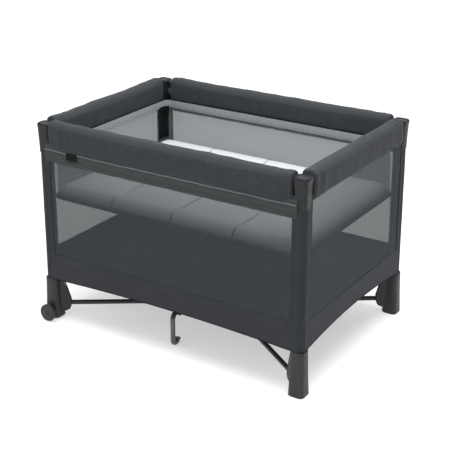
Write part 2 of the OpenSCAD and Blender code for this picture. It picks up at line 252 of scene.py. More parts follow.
def centre_foot_coat(colour, dark, grip_z, tip, tip_r):
    """Powder coat on the tube, dark plastic on the clip above grip_z and on the end plug."""
    look = Look("centre_foot_coat", 0.4, 0.5)
    base = look.mix(look.spread(look.noise(22, 4), 0.3, 0.7), shade(colour, 0.9), shade(colour, 1.12))
    parts = look.tree.nodes.new("ShaderNodeSeparateXYZ")
    look.link(look.where, parts.inputs["Vector"])
    base = look.mix(look.spread(parts.outputs["Z"], grip_z, grip_z + 0.001), base, dark)
    side = look.tree.nodes.new("ShaderNodeVectorMath")
    side.operation = "ABSOLUTE"
    look.link(look.where, side.inputs[0])
    gap = look.tree.nodes.new("ShaderNodeVectorMath")
    gap.operation = "DISTANCE"
    look.link(side.outputs["Vector"], gap.inputs[0])
    gap.inputs[1].default_value = tip
    look.paint(look.mix(look.spread(gap.outputs["Value"], tip_r + 0.0006, tip_r), base, dark))
    look.rough(look.spread(look.noise(90, 3), 0.3, 0.7, 0.34, 0.5))
    look.relief(look.noise(420, 2), 0.1, 0.0004)
    return look.material


def quilted(name, colour, seams, width, top):
    """Soft white ticking with a fine twill; its seams, at these x, lie deeper, and their colour is painted
    darker the further they lie below the top, as painted shade in the grooves.
    """
    look = Look(name, 0.9, 0.2)
    look.shader.inputs["Sheen Weight"].default_value = 0.3
    twill = look.spread(look.cells(0.0016), 0.0, 0.7)
    tint = look.mix(look.spread(look.noise(120, 4), 0.3, 0.7),
                    shade(colour, 0.95), shade(colour, 1.03))
    tint = look.mix(twill, tint, shade(colour, 0.88))
    parts = look.tree.nodes.new("ShaderNodeSeparateXYZ")
    look.link(look.where, parts.inputs["Vector"])
    # Painted shade: along each seam the colour falls from 0.62 of the white near the top to 0.10 lower down
    depth = look.mix(look.spread(parts.outputs["Z"], top - 0.010, top - 0.003),
                     shade(colour, 0.10), shade(colour, 0.62))
    for seam in seams:
        apart = look.tree.nodes.new("ShaderNodeMath")
        apart.operation = "SUBTRACT"
        look.link(parts.outputs["X"], apart.inputs[0])
        apart.inputs[1].default_value = seam
        size = look.tree.nodes.new("ShaderNodeMath")
        size.operation = "ABSOLUTE"
        look.link(apart.outputs[0], size.inputs[0])
        tint = look.mix(look.spread(size.outputs[0], width, 0.4 * width), tint, depth)
    look.paint(tint)
    look.rough(look.spread(look.noise(200, 2), 0.3, 0.7, 0.84, 0.96))
    look.relief(look.cells(0.0016), 0.3, 0.0004)
    look.relief(look.noise(40, 3), 0.25, 0.002)
    return look.material


SLATE = woven("roll_fabric", linear(51, 54, 58), mottle=0.2, sheen=0.06)
BAND = woven("band_fabric", linear(50, 52, 58), sheen=0.05)
SLEEVE = woven("sleeve_fabric", linear(46, 49, 51), sheen=0.05)
TRIM = woven("trim_fabric", linear(54, 59, 60), pitch=0.0015, mottle=0.18)
# Lighter than the strip: piping, partly a painted highlight under the roll
PIPING_HIGHLIGHT = woven("piping_highlight_fabric", linear(92, 99, 100), pitch=0.0009)
FLOOR = woven("floor_fabric", linear(57, 60, 59), sheen=0.05)
MESH = netting("side_mesh", linear(52, 60, 63), 0.668, sheen=0.0)
# The same netting with more cover, so the end walls show darker: painted shade on the ends
END_MESH = netting("end_mesh", linear(52, 60, 63), 0.705, sheen=0.0)
INNER_MESH = netting("bassinet_mesh", linear(114, 126, 129), 0.49, pitch=0.0018, sheen=0.0)
HEM = woven("hem_fabric", linear(142, 144, 149), pitch=0.0009, mottle=0.1)
BLACK = woven("strap_fabric", linear(14, 17, 18), pitch=0.0017, mottle=0.3, sheen=0.0)
WHITE = quilted("mattress_ticking", linear(192, 196, 197), MAT_SEAMS, 0.0045, MAT_HIGH.z)
CAP = moulded("cap_plastic", linear(17, 19, 21))
FOOT = moulded("foot_plastic", linear(34, 37, 40), scuffs=0.25)
WHEEL = moulded("wheel_plastic", linear(44, 47, 48), 0.55, scuffs=0.35)
HUB = moulded("hub_plastic", linear(44, 46, 48))
LATCH = moulded("latch_plastic", linear(38, 40, 42))
BUTTON = moulded("button_plastic", linear(150, 40, 36), 0.4)
TUBE = coated("leg_coat", linear(34, 37, 39))
RAIL = coated("rail_coat", linear(150, 152, 155), 0.32)
POST_COAT = coated("post_coat", linear(62, 64, 67))

# ---------------------------------------------------------------- mesh helpers


def add_object(name, verts, faces, look):
    mesh = bpy.data.meshes.new(name)
    mesh.from_pydata([tuple(v) for v in verts], [], faces)
    mesh.update()
    obj = bpy.data.objects.new(name, mesh)
    bpy.context.scene.collection.objects.link(obj)
    mesh.materials.append(look)
    mesh.polygons.foreach_set("use_smooth", [True] * len(mesh.polygons))
    return obj


def clean(obj, crease=None):
    """Consistent outward normals; edges sharper than crease degrees stay sharp."""
    shape = bmesh.new()
    shape.from_mesh(obj.data)
    bmesh.ops.remove_doubles(shape, verts=shape.verts, dist=1e-6)
    bmesh.ops.recalc_face_normals(shape, faces=shape.faces)
    if crease is not None:
        for edge in shape.edges:
            edge.smooth = len(edge.link_faces) < 2 or edge.calc_face_angle(0) < math.radians(crease)
    shape.to_mesh(obj.data)
    shape.free()
    return obj


def bake_modifiers(obj):
    """Swaps the mesh for what its modifiers make of it."""
    graph = bpy.context.evaluated_depsgraph_get()
    mesh = bpy.data.meshes.new_from_object(obj.evaluated_get(graph))
    obj.modifiers.clear()
    obj.data = mesh
    return obj


def grid(name, cols, rows, place, look, wrap=False, thick=0.0):
    """A sheet of cols x rows quads; place(u, v) gives a point for u and v from 0 to 1."""
    across = cols if wrap else cols + 1
    verts = [place(i / cols, j / rows) for j in range(rows + 1) for i in range(across)]
    faces = [(j * across + i, j * across + (i + 1) % across,
              (j + 1) * across + (i + 1) % across, (j + 1) * across + i)
             for j in range(rows) for i in range(cols)]
    obj = add_object(name, verts, faces, look)
    if thick:
        shell = obj.modifiers.new("thickness", "SOLIDIFY")
        shell.thickness, shell.offset = thick, 0.0
        clean(bake_modifiers(obj), 50)
    return obj


def loft(name, rings, look, crease=35, start=True, end=True, closed=False):
    """A skin through rings of equal length, with a face at its start and end, or closed round on itself."""
    n, count = len(rings[0]), len(rings)
    verts = [p for ring in rings for p in ring]
    faces = [(k * n + i, k * n + (i + 1) % n, (k + 1) % count * n + (i + 1) % n, (k + 1) % count * n + i)
             for k in range(count if closed else count - 1) for i in range(n)]
    if start:
        faces.append(tuple(range(n))[::-1])
    if end:
        faces.append(tuple((count - 1) * n + i for i in range(n)))
    return clean(add_object(name, verts, faces, look), crease)


def circle(centre, side, up, radius, sides):
    """Points round a circle in the plane of side and up."""
    return [centre + radius * (side * math.cos(t) + up * math.sin(t))
            for t in (2 * math.pi * k / sides for k in range(sides))]


def tube(name, path, radius, look, sides=10):
    """A round bead along a path of points."""
    rings = []
    for i, p in enumerate(path):
        ahead = (path[min(i + 1, len(path) - 1)] - path[max(i - 1, 0)]).normalized()
        across = ahead.cross(Vector((0, 0, 1)))
        across = (across if across.length > 1e-3 else Vector((1, 0, 0))).normalized()
        up = across.cross(ahead)
        rings.append(circle(p, across, up, radius, sides))
    return loft(name, rings, look, 60)


def join(name, parts):
    """Makes one piece of several."""
    mesh = bpy.data.meshes.new(name)
    shape = bmesh.new()
    for part in parts:
        part.data.transform(part.matrix_world)
        slot = [m.name for m in mesh.materials]
        for m in part.data.materials:
            if m.name not in slot:
                mesh.materials.append(m)
                slot.append(m.name)
        index = [slot.index(m.name) for m in part.data.materials]
        old = len(shape.faces)
        shape.from_mesh(part.data)
        shape.faces.ensure_lookup_table()
        for face in shape.faces[old:]:
            face.material_index = index[face.material_index]
        bpy.data.objects.remove(part)
    shape.to_mesh(mesh)
    shape.free()
    obj = bpy.data.objects.new(name, mesh)
    bpy.context.scene.collection.objects.link(obj)
    return obj


def round_ring(w, d, r, z):
    """Points round a rectangle w x d with corners of radius r, at height z."""
    points, per_corner = [], 6
    for k, (sx, sy) in enumerate(((1, 1), (-1, 1), (-1, -1), (1, -1))):
        for i in range(per_corner + 1):
            t = math.pi / 2 * (k + i / per_corner)
            points.append(Vector((sx * (w / 2 - r) + r * math.cos(t),
                                  sy * (d / 2 - r) + r * math.sin(t), z)))
    return points


def outline(half_x, half_y, r, share):
    """The point and outward normal at a share of the way round a rounded rectangle, from the middle of +X."""
    straight_x, straight_y, arc = half_x - r, half_y - r, math.pi / 2 * r
    left = share % 1.0 * (4 * (straight_x + straight_y) + 4 * arc)
    turn, at, runs = 0.0, Vector((half_x, 0)), [straight_y]
    for length in (2 * straight_x, 2 * straight_y, 2 * straight_x):
        runs += [arc, length]
    runs += [arc, straight_y]
    for k, run in enumerate(runs):
        ahead = Vector((-math.sin(turn), math.cos(turn)))
        out = Vector((math.cos(turn), math.sin(turn)))
        if k % 2 == 0:
            if left <= run:
                return at + ahead * left, out
            at += ahead * run
        else:
            middle, swing = at - out * r, min(left, run) / r
            out = Vector((math.cos(turn + swing), math.sin(turn + swing)))
            if left <= run:
                return middle + out * r, out
            at, turn = middle + out * r, turn + math.pi / 2
        left -= run
    return Vector((half_x, 0)), Vector((1, 0))


def attach(obj, body, slot, *nodes):
    """The piece rides on a body and stands for these CAD nodes, which it hides; slot is not used."""
    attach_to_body(obj, body)
    if nodes:
        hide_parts(*nodes)
    return obj


def place_wall(corner, side, along, out, z):
    """A point on a side wall: along from the middle of the side, out from the post line."""
    sx, sy = CORNERS[corner]
    if side == "x":
        return Vector((sx * along, sy * (POST_Y + out), z))
    return Vector((sx * (POST_X + out), sy * along, z))


def reach_of(side):
    return POST_X if side == "x" else POST_Y


def gather(obj):
    """Gives a half side its own copy of its mesh."""
    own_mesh(obj)


# ---------------------------------------------------------------- padded rolls


def swell(obj, voxel, limit):
    """Blows a closed cover up like a stuffed one: remesh, cloth under pressure, then keep the shape."""
    remesh = obj.modifiers.new("remesh", "REMESH")
    remesh.mode, remesh.voxel_size = "VOXEL", voxel
    bake_modifiers(obj)
    rest = [v.co.copy() for v in obj.data.vertices]
    cloth = obj.modifiers.new("cloth", "CLOTH")
    settings = cloth.settings
    settings.quality, settings.mass = 5, 0.3
    settings.tension_stiffness = settings.compression_stiffness = 12
    settings.shear_stiffness, settings.bending_stiffness = 4, 0.4
    settings.use_pressure, settings.uniform_pressure_force = True, 4.0
    settings.shrink_min = -0.015
    settings.effector_weights.gravity = 0.0
    scene, last = bpy.context.scene, 20
    for at in range(1, last + 1):
        scene.frame_set(at)
    bake_modifiers(obj)
    scene.frame_set(1)
    for v, old in zip(obj.data.vertices, rest):
        move = v.co - old
        if move.length > limit:
            v.co = old + move * (limit / move.length)
    obj.modifiers.new("smooth", "SUBSURF").levels = 1
    return bake_modifiers(obj)


def roll_cover(name, reach):
    """The whole cover of one top rail along local X, centred on the rail line, before it is cut in two."""
    shoulder, rings, n = 0.015, [], 40
    thick, high = ROLL_T / 2 + 0.0005, ROLL_H / 2 + 0.0005

    def section(x, share):
        ring = []
        for i in range(n):
            t = 2 * math.pi * i / n
            c, s = math.cos(t), math.sin(t)
            tall = high if s > 0 else high + 0.0050
            ring.append(Vector((x, share * thick * math.copysign(abs(c) ** 0.60, c),
                                share * tall * math.copysign(abs(s) ** 0.56, s))))
        return ring

    steps = [math.sin(math.pi / 2 * k / 8) for k in range(9)]
    ends = [(reach - shoulder + shoulder * s, 0.86 + 0.14 * math.sqrt(max(0.0, 1 - s * s)))
            for s in steps]
    count = 60
    middle = [((reach - shoulder) * (2 * k / count - 1), 1.0) for k in range(1, count)]
    for x, share in [(-x, f) for x, f in reversed(ends)] + middle + ends:
        rings.append(section(x, share))
    return loft(name, rings, SLATE, 180)


def ripple(obj, reach, seed):
    """Slow unevenness all along, and soft upright pulls beside the ends, as the cloth is drawn in there."""
    mesh = obj.data
    normals = [v.normal.copy() for v in mesh.vertices]
    for v, normal in zip(mesh.vertices, normals):
        x, y, z = v.co
        near_end = max(0.0, 1 - (reach - abs(x)) / 0.15) ** 1.5
        slow = noise.noise(Vector((x * 6, y * 9, z * 9 + seed)))
        pulls = noise.noise(Vector((x * 62, y * 10 + seed, z * 7)))
        creases = noise.noise(Vector((x * 24 + seed, y * 14, z * 11 + 5)))
        v.co += normal * (0.0020 * slow + 0.0034 * near_end * pulls + 0.0013 * creases)
    mesh.update()


def half_cover(whole, name, direction):
    """The half of a cover on the +X or -X side of its middle, closed where it was cut."""
    shape = bmesh.new()
    shape.from_mesh(whole.data)
    bmesh.ops.bisect_plane(shape, geom=shape.verts[:] + shape.edges[:] + shape.faces[:],
                           plane_co=(0, 0, 0), plane_no=(direction, 0, 0), clear_inner=True)
    rim = [e for e in shape.edges if e.is_boundary]
    for face in bmesh.ops.edgenet_fill(shape, edges=rim)["faces"]:
        face.smooth = False
    bmesh.ops.recalc_face_normals(shape, faces=shape.faces)
    mesh = bpy.data.meshes.new(name)
    shape.to_mesh(mesh)
    shape.free()
    obj = bpy.data.objects.new(name, mesh)
    bpy.context.scene.collection.objects.link(obj)
    mesh.materials.append(SLATE)
    return obj


def make_rolls():
    """Eight half covers: two simulated ones, for the long and the short sides, each used twice and cut."""
    reaches = {"x": PAD_HIGH.x + ROLL_OVER, "y": PAD_Y_HIGH.y + ROLL_OVER}
    covers = {kind: roll_cover(f"cover_{kind}", reach) for kind, reach in reaches.items()}
    for cover in covers.values():
        swell(cover, voxel=0.006, limit=0.003)
    quarter_turn = Matrix.Rotation(math.pi / 2, 4, "Z")
    sides = {"f": ("x", Matrix.Translation((0, -POST_Y, PAD_Z)), ("fl", "fr")),
             "b": ("x", Matrix.Translation((0, POST_Y, PAD_Z)), ("bl", "br")),
             "l": ("y", Matrix.Translation((-POST_X, 0, PAD_Z)) @ quarter_turn, ("fl", "bl")),
             "r": ("y", Matrix.Translation((POST_X, 0, PAD_Z)) @ quarter_turn, ("fr", "br"))}
    for seed, (side, (kind, to_place, corners)) in enumerate(sides.items()):
        whole = covers[kind].copy()
        whole.data = covers[kind].data.copy()
        ripple(whole, reaches[kind], 3.7 * seed + 1)
        for direction, corner in zip((-1, 1), corners):
            half = half_cover(whole, f"roll_{corner}_{kind}", direction)
            share = REAR_LEFT_SHARE if corner == "bl" else ROLL_SHARES[side]
            half.data.transform(Matrix.Diagonal((share, 1, 1, 1)))
            half.data.transform(to_place)
            attach(half, f"rail_{corner}_{kind}", "pad", f"pad_{corner}_{kind}")
            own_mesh(half)
        bpy.data.objects.remove(whole)
    for cover in covers.values():
        bpy.data.objects.remove(cover)


# ---------------------------------------------------------------- side fabric


def skirt_low(side, along):
    """The lower edge of the side fabric, drawn up a little between the corners."""
    rise = 0.014 if side == "x" else 0.025
    return SKIRT_LOW + rise * (1 - (along / reach_of(side)) ** 2)


def slack(side, along, z):
    """How far the side fabric is drawn in from its plane."""
    share = max(0.0, min(1.0, (z - BAND_TOP) / (PAD_LOW.z - BAND_TOP)))
    span = 1 - (along / reach_of(side)) ** 4
    return -0.0035 * math.sin(math.pi * share) * span + 0.0006 * noise.noise(
        Vector((along * 11, z * 17, 3 if side == "x" else 8)))


def along_bead(corner, side, length, out, height, count):
    """A path beside a half side, from its middle; height(along) gives z."""
    steps = [length * k / count for k in range(count + 1)]
    return [place_wall(corner, side, along, out, height(along)) for along in steps]


def make_side(corner, side):
    """Half of one side: netting, opaque band, binding along the post, and a black bead along the lower edge,
    partly hem and partly painted shade under the edge.
    """
    reach = reach_of(side)

    def cover(piece):
        attach(piece, f"corner_{corner}", "cover", f"cover_{corner}")
        gather(piece)
        return piece

    def mesh_at(u, v):
        along = u * (reach - NET_END)
        z = BAND_TOP - 0.004 + v * (NET_TOP - BAND_TOP + 0.004)
        return place_wall(corner, side, along, WALL_OUT + slack(side, along, z), z)

    look = MESH if side == "x" else END_MESH
    panel = cover(grid(f"mesh_{corner}_{side}", 30, 22, mesh_at, look))

    def band_at(u, v):
        along = u * (reach - BAND_END)
        low = skirt_low(side, along)
        z = low + v * (BAND_TOP - low)
        wave = 0.0009 * noise.noise(Vector((along * 9, z * 14, 4.0)))
        return place_wall(corner, side, along, WALL_OUT + 0.0008 + wave, z)

    band = cover(grid(f"band_{corner}_{side}", 44, 10, band_at, BAND, thick=0.0014))

    def binding_at(u, v):
        z = BAND_TOP - 0.002 + v * (NET_TOP - BAND_TOP + 0.002)
        inner = reach - 0.0235 - 0.003 * (1 - v) ** 2
        along = inner + u * (reach - 0.004 - inner)
        return place_wall(corner, side, along, WALL_OUT + 0.0012 + 0.4 * slack(side, along, z), z)

    binding = cover(grid(f"binding_{corner}_{side}", 4, 22, binding_at, SLEEVE, thick=0.0012))

    # A black bead along the skirt's lower edge: partly a hem, partly painted shade under the edge
    path = along_bead(corner, side, reach - HEM_END, WALL_OUT + 0.0008,
                      lambda along: skirt_low(side, along) + 0.0006, 40)
    cover(tube(f"skirt_edge_{corner}_{side}", path, 0.0017, BLACK, 6))
    if side == "x":
        make_zip(corner, cover)


def make_zip(corner, cover):
    """The strip under a long roll, with a light piping bead along its top, partly a painted highlight under
    the roll, and the zip's teeth below.
    """
    reach = reach_of("x")

    def strip_at(u, v):
        along = u * (reach - STRIP_END)
        top = PAD_LOW.z + ZIP_RISE
        low = PAD_LOW.z - ZIP_DEPTH + 0.0016 * noise.noise(Vector((along * 22, 4, 9)))
        z = low + v * (top - low)
        puff = 0.0014 * math.sin(math.pi * v) + 0.0008 * noise.noise(
            Vector((along * 30, z * 60, 1)))
        return place_wall(corner, "x", along, WALL_OUT + 0.0022 + puff, z)

    strip = cover(grid(f"zip_strip_{corner}", 70, 8, strip_at, TRIM, thick=0.0016))

    pace = 14 * reach / (reach - NET_END)

    def piping_z(along):
        return PAD_LOW.z - 0.006 + 0.0018 * noise.noise(Vector((pace * along, 0, 5)))

    path = along_bead(corner, "x", reach - NET_END, WALL_OUT + 0.0048, piping_z, 60)
    # The light bead is partly a painted highlight along the roll's lower edge
    cover(tube(f"piping_{corner}", path, 0.0021, PIPING_HIGHLIGHT))
    path = [Vector((p.x, p.y, PAD_LOW.z - 0.034)) for p in path]
    cover(tube(f"zip_teeth_{corner}", path, 0.0014, TRIM))


def make_sleeve(corner):
    """The fabric sleeve that hides the post, drawn in a little towards the foot."""
    sx, sy = CORNERS[corner]
    low, high = SKIRT_LOW - 0.001, CAP_LOW - 0.0008

    def at(u, v):
        turn, z = 2 * math.pi * u, low + v * (high - low)
        radius = SLEEVE_R - 0.0003 * (1 - v) ** 2 + 0.0006 * noise.noise(
            Vector((3 * math.cos(turn), 3 * math.sin(turn), z * 22 + 7 * sx + 3 * sy)))
        seam = 0.0014 * math.exp(-((math.cos(turn) * sx + math.sin(turn) * sy - 1.38) / 0.02) ** 2)
        return Vector((sx * POST_X + (radius + seam) * math.cos(turn),
                       sy * POST_Y + (radius + seam) * math.sin(turn), z))

    sleeve = grid(f"sleeve_{corner}", 40, 40, at, SLEEVE, wrap=True, thick=0.0012)
    attach(sleeve, f"corner_{corner}", "cover", f"cover_{corner}")


def make_floor_cloth(corner):
    """A quarter of the cloth floor over its board, cut back round the post."""
    sx, sy = CORNERS[corner]
    side_x, side_y = POST_X + WALL_OUT, POST_Y + WALL_OUT
    post, cut = Vector((POST_X, POST_Y)), FLOOR_CUT

    def lift(side, along, inward):
        """The rim turns up to meet the side fabric; inward is the distance in from the side."""
        height = max(FLOOR_LIFT, skirt_low(side, min(along, reach_of(side))) + 0.004 - FLOOR_HIGH)
        return height * max(0, 1 - inward / FLOOR_TURN) ** 2

    def at(u, v):
        p = Vector((u * side_x, v * side_y))
        rim = max(lift("x", p.x, side_y - p.y), lift("y", p.y, side_x - p.x))
        away = p - post
        if away.length < cut or (away.x > -cut and away.y > 0) or (away.y > -cut and away.x > 0):
            p = post + Vector((min(away.x, -1e-5), min(away.y, -1e-5))).normalized() * cut
        z = (FLOOR_LOW + FLOOR_HIGH) / 2 + rim + 0.0006 * noise.noise(Vector((p.x * 9, p.y * 9, 4)))
        return Vector((sx * p.x, sy * p.y, z))

    cloth = grid(f"floor_cloth_{corner}", 48, 34, at, FLOOR, thick=0.0028)
    attach(cloth, f"leg_{corner}", "floor", f"floor_{corner}")
    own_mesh(cloth)


def make_tag():
    """A plain woven tag hanging from the piping near the left end of the front."""
    left, right, top, low = -0.378, -0.334, PAD_LOW.z - 0.003, PAD_LOW.z - 0.026

    def at(u, v):
        return Vector((left + u * (right - left),
                       -(POST_Y + WALL_OUT + 0.0075 - 0.0012 * v * v), low + v * (top - low)))

    tag = grid("tag", 8, 6, at, BLACK, thick=0.0009)
    attach(tag, "corner_fl", "cover", "cover_fl")
    gather(tag)


# ---------------------------------------------------------------- bassinet


def tub_point(share, z, inset):
    """A point on the insert's fabric wall, which draws in towards the neck between the rolls."""
    drawn = max(0.0, min(1.0, (z - PAD_LOW.z + 0.055) / 0.05))
    drawn = drawn * drawn * (3 - 2 * drawn)
    at, out = outline(INSERT_X + drawn * (NECK_X - INSERT_X), INSERT_Y + drawn * (NECK_Y - INSERT_Y),
                      TUB_R, share)
    at -= out * inset
    return Vector((at.x, at.y, z))


def make_bassinet():
    """The insert: mesh wall, gathered hem, base board with dark piping, and a patch on the left wall."""
    base_top = BASE_LOW + 0.004
    wall_top = TUB_HIGH.z - 0.002

    def wall_at(u, v):
        z = base_top - 0.002 + v * (wall_top - base_top)
        pull = 0.004 * math.sin(math.pi * v) + 0.0008 * noise.noise(
            Vector((30 * math.cos(2 * math.pi * u), 30 * math.sin(2 * math.pi * u), z * 14)))
        return tub_point(u, z, 0.0012 + pull)

    wall = grid("bassinet_wall", WALL_SHARES, 10, wall_at, INNER_MESH, wrap=True)
    attach(wall, "bassinet", "bassinet", "bassinet_tub")

    def hem_at(u, v):
        low = TUB_HIGH.z - HEM_DROP + 0.0022 * noise.noise(Vector((u * 90, 1, 2)))
        z = low + v * (TUB_HIGH.z + HEM_RISE - low)
        depth = 0.0015 - 0.0006 * v
        swing = math.sin(2 * math.pi * u * 170 + 7 * noise.noise(Vector((u * 60, 3, 0))))
        strength = 0.5 + 0.5 * noise.noise(Vector((u * 40, 8, 1)))
        return tub_point(u, z, 0.0055 + depth * swing * max(0.2, strength))

    hem = grid("bassinet_hem", 4 * WALL_SHARES, 5, hem_at, HEM, wrap=True, thick=0.0008)
    attach(hem, "bassinet", "bassinet", "bassinet_tub")

    edge = ((0.0, 0.014), (0.0, 0.002), (0.0012, 0.0), (0.0050, 0.0), (0.0062, 0.002), (0.0062, 0.014))
    rings = [[tub_point(k / WALL_SHARES, BASE_LOW + rise, inset) for k in range(WALL_SHARES)]
             for rise, inset in edge]
    board = loft("bassinet_base", rings, FLOOR, 40)
    attach(board, "bassinet", "bassinet", "bassinet_tub")

    path = [tub_point(k / WALL_SHARES, BASE_LOW + 0.0008, 0.0004) for k in range(WALL_SHARES + 1)]
    bead = tube("bassinet_piping", path, 0.0055, BLACK, 8)
    attach(bead, "bassinet", "bassinet", "bassinet_tub")

    # The patch's middle lies where the left wall starts, past the rear left corner
    middle = INSERT_Y - TUB_R + math.pi * TUB_R + 2 * (INSERT_X - TUB_R)

    def patch_at(u, v):
        z = MAT_HIGH.z + 0.002 + v * (PATCH_TOP - MAT_HIGH.z)
        share = (middle + (u - 0.5) * PATCH_W) / AROUND
        return tub_point(share, z, 0.0068 + 0.0030 * math.sin(math.pi * v))

    patch = grid("strap_patch", 14, 12, patch_at, BLACK, thick=0.0016)
    attach(patch, "bassinet", "bassinet", "bassinet_tub")


def groove(x, depth):
    """How deep the seams draw the mattress in at this x."""
    return sum(depth * math.exp(-((x - seam) / SEAM_W) ** 2) for seam in MAT_SEAMS)


def make_mattress():
    """Four stitched panels: each crowned, drawn down along the seams and at its tufts."""
    radius, low = TUB_R + 0.010, BASE_LOW + BOARD
    tufts = [(x, sy * (MAT_Y - TUFT_IN)) for x in MAT_SEAMS for sy in (-1, 1)]

    def top_drop(x, y):
        tuft = sum(0.0045 * math.exp(-((x - a) ** 2 + (y - b) ** 2) / 0.011 ** 2) for a, b in tufts)
        crown = (0.0030 * math.cos(math.pi * ((x / MAT_PANEL) % 1.0 - 0.5))
                 * math.cos(0.5 * math.pi * y / MAT_Y))
        return groove(x, 0.0085) + tuft - crown

    profile = [(0.006, 0.0), (0.0015, 0.06), (0.0, 0.16)]
    profile += [(MAT_EDGE * (1 - math.cos(t)), 0.16 + 0.84 * math.sin(t))
                for t in (math.pi / 2 * k / 9 for k in range(1, 10))]
    count, steps = 300, 34
    rim = [outline(MAT_X, MAT_Y, radius, k / count) for k in range(count)]
    rings = []
    for inset, rise in profile:
        ring = []
        for at, out in rim:
            p = at - out * inset
            p -= out * groove(p.x, 0.006) * min(1.0, rise * 3)
            ring.append(Vector((p.x, p.y, low + rise * (MAT_HIGH.z - low))))
        rings.append(ring)
    for step in range(1, steps + 1):
        share, fade = 1 - step / steps, min(1.0, step / 3)
        ring = []
        for at, out in rim:
            p = (at - out * MAT_EDGE) * share
            ring.append(Vector((p.x, p.y, MAT_HIGH.z - fade * top_drop(p.x, p.y))))
        rings.append(ring)
    quilt = loft("mattress_quilt", rings, WHITE, 60, end=False)
    attach(quilt, "mattress", "mattress", "mattress")

    east, north = Vector((1, 0, 0)), Vector((0, 1, 0))
    buttons = []
    for k, (x, y) in enumerate(tufts):
        z = MAT_HIGH.z - top_drop(x, y)
        rings = [circle(Vector((x, y, z + h)), east, north, r, 12)
                 for r, h in ((0.0045, -0.0005), (0.0050, 0.0006), (0.0042, 0.0016), (0.0020, 0.0021))]
        buttons.append(loft(f"tuft_part_{k}", rings, LATCH, 60))
    attach(join("tufts", buttons), "mattress", "mattress", "mattress")


# ---------------------------------------------------------------- mouldings


def plate(name, points, thickness, to_place, look):
    """A flat plate with eased edges; points are (along, up) round its outline."""
    shape = bmesh.new()
    near = [shape.verts.new((x, -thickness / 2, z)) for x, z in points]
    face = shape.faces.new(near)
    grown = bmesh.ops.extrude_face_region(shape, geom=[face])["geom"]
    bmesh.ops.translate(shape, verts=[g for g in grown if isinstance(g, bmesh.types.BMVert)],
                        vec=(0, thickness, 0))
    bmesh.ops.bevel(shape, geom=shape.edges[:], offset=0.0008, segments=2, profile=0.6,
                    affect="EDGES")
    bmesh.ops.recalc_face_normals(shape, faces=shape.faces)
    mesh = bpy.data.meshes.new(name)
    shape.to_mesh(mesh)
    shape.free()
    mesh.transform(to_place)
    mesh.materials.append(look)
    obj = bpy.data.objects.new(name, mesh)
    bpy.context.scene.collection.objects.link(obj)
    return obj


def rod(name, start, end, radius, look):
    """A pin with eased ends."""
    ahead = (end - start).normalized()
    side = ahead.orthogonal().normalized()
    up = ahead.cross(side)
    length, ease = (end - start).length, 0.0006
    rings = [circle(start + ahead * a, side, up, r, 20)
             for a, r in ((0, radius - ease), (ease, radius),
                          (length - ease, radius), (length, radius - ease))]
    return loft(name, rings, look, 50)


def stadium(length, radius, tail):
    """Outline of a cheek: a round nose of that radius at x = length, square back to x = tail."""
    steps = 12
    nose = [(length + radius * math.sin(math.pi * k / steps), radius * math.cos(math.pi * k / steps))
            for k in range(steps + 1)]
    return nose + [(tail, -radius), (tail, radius)]


def make_cap(corner):
    """Tapered moulded cap with a bevelled rim and its two rail brackets."""
    sx, sy = CORNERS[corner]
    centre = Vector((sx * POST_X, sy * POST_Y, 0))
    # Width, depth, corner radius and height of each level
    levels = [(0.0385, 0.0365, 0.008, CAP_LOW + 0.0008), (0.0400, 0.0380, 0.008, CAP_LOW),
              (0.0402, 0.0382, 0.008, CAP_LOW + 0.0030), (0.0390, 0.0370, 0.008, CAP_LOW + 0.0040),
              (0.0415, 0.0385, 0.009, CAP_LOW + 0.0300), (0.0465, 0.0415, 0.010, CAP_HIGH - 0.0180),
              (0.0500, 0.0440, 0.011, CAP_HIGH - 0.0075), (0.0500, 0.0440, 0.011, CAP_HIGH - 0.0050),
              (0.0455, 0.0395, 0.010, CAP_HIGH - 0.0004), (0.0430, 0.0370, 0.009, CAP_HIGH),
              (0.0400, 0.0340, 0.008, CAP_HIGH - 0.0006), (0.0385, 0.0325, 0.008, CAP_HIGH - 0.0024),
              (0.0200, 0.0160, 0.004, CAP_HIGH - 0.0020)]
    rings = [[centre + p for p in round_ring(w, d, r, z)] for w, d, r, z in levels]
    parts = [loft(f"cap_body_{corner}", rings, CAP, 32)]
    on_rail = centre + Vector((0, 0, RAIL_Z))
    pin_in = 0.010                                            # the pin's distance in from the rail's end
    for inward, reach in (
            (Vector((-sx, 0, 0)), POST_X - abs(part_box(f"rail_{corner}_x")[sx > 0][0]) + pin_in),
            (Vector((0, -sy, 0)), POST_Y - abs(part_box(f"rail_{corner}_y")[sy > 0][1]) + pin_in)):
        turn = Matrix.Rotation(math.atan2(inward.y, inward.x), 4, "Z")
        for s in (-1, 1):
            to_place = Matrix.Translation(on_rail) @ turn @ Matrix.Translation((0, s * 0.0125, 0))
            parts.append(plate("cheek", stadium(reach, 0.012, 0.016), 0.004, to_place, CAP))
        web = [(0.016, 0.012), (reach - 0.017, 0.012), (reach - 0.017, -0.012), (0.016, -0.012)]
        parts.append(plate("web", web, 0.0245, Matrix.Translation(on_rail) @ turn, CAP))
        pivot = on_rail + inward * reach
        across = Vector((-inward.y, inward.x, 0)) * 0.0142
        parts.append(rod("pin", pivot - across, pivot + across, 0.004, LATCH))
    cap = join(f"cap_shell_{corner}", parts)
    attach(cap, f"corner_{corner}", "cap", f"cap_{corner}")


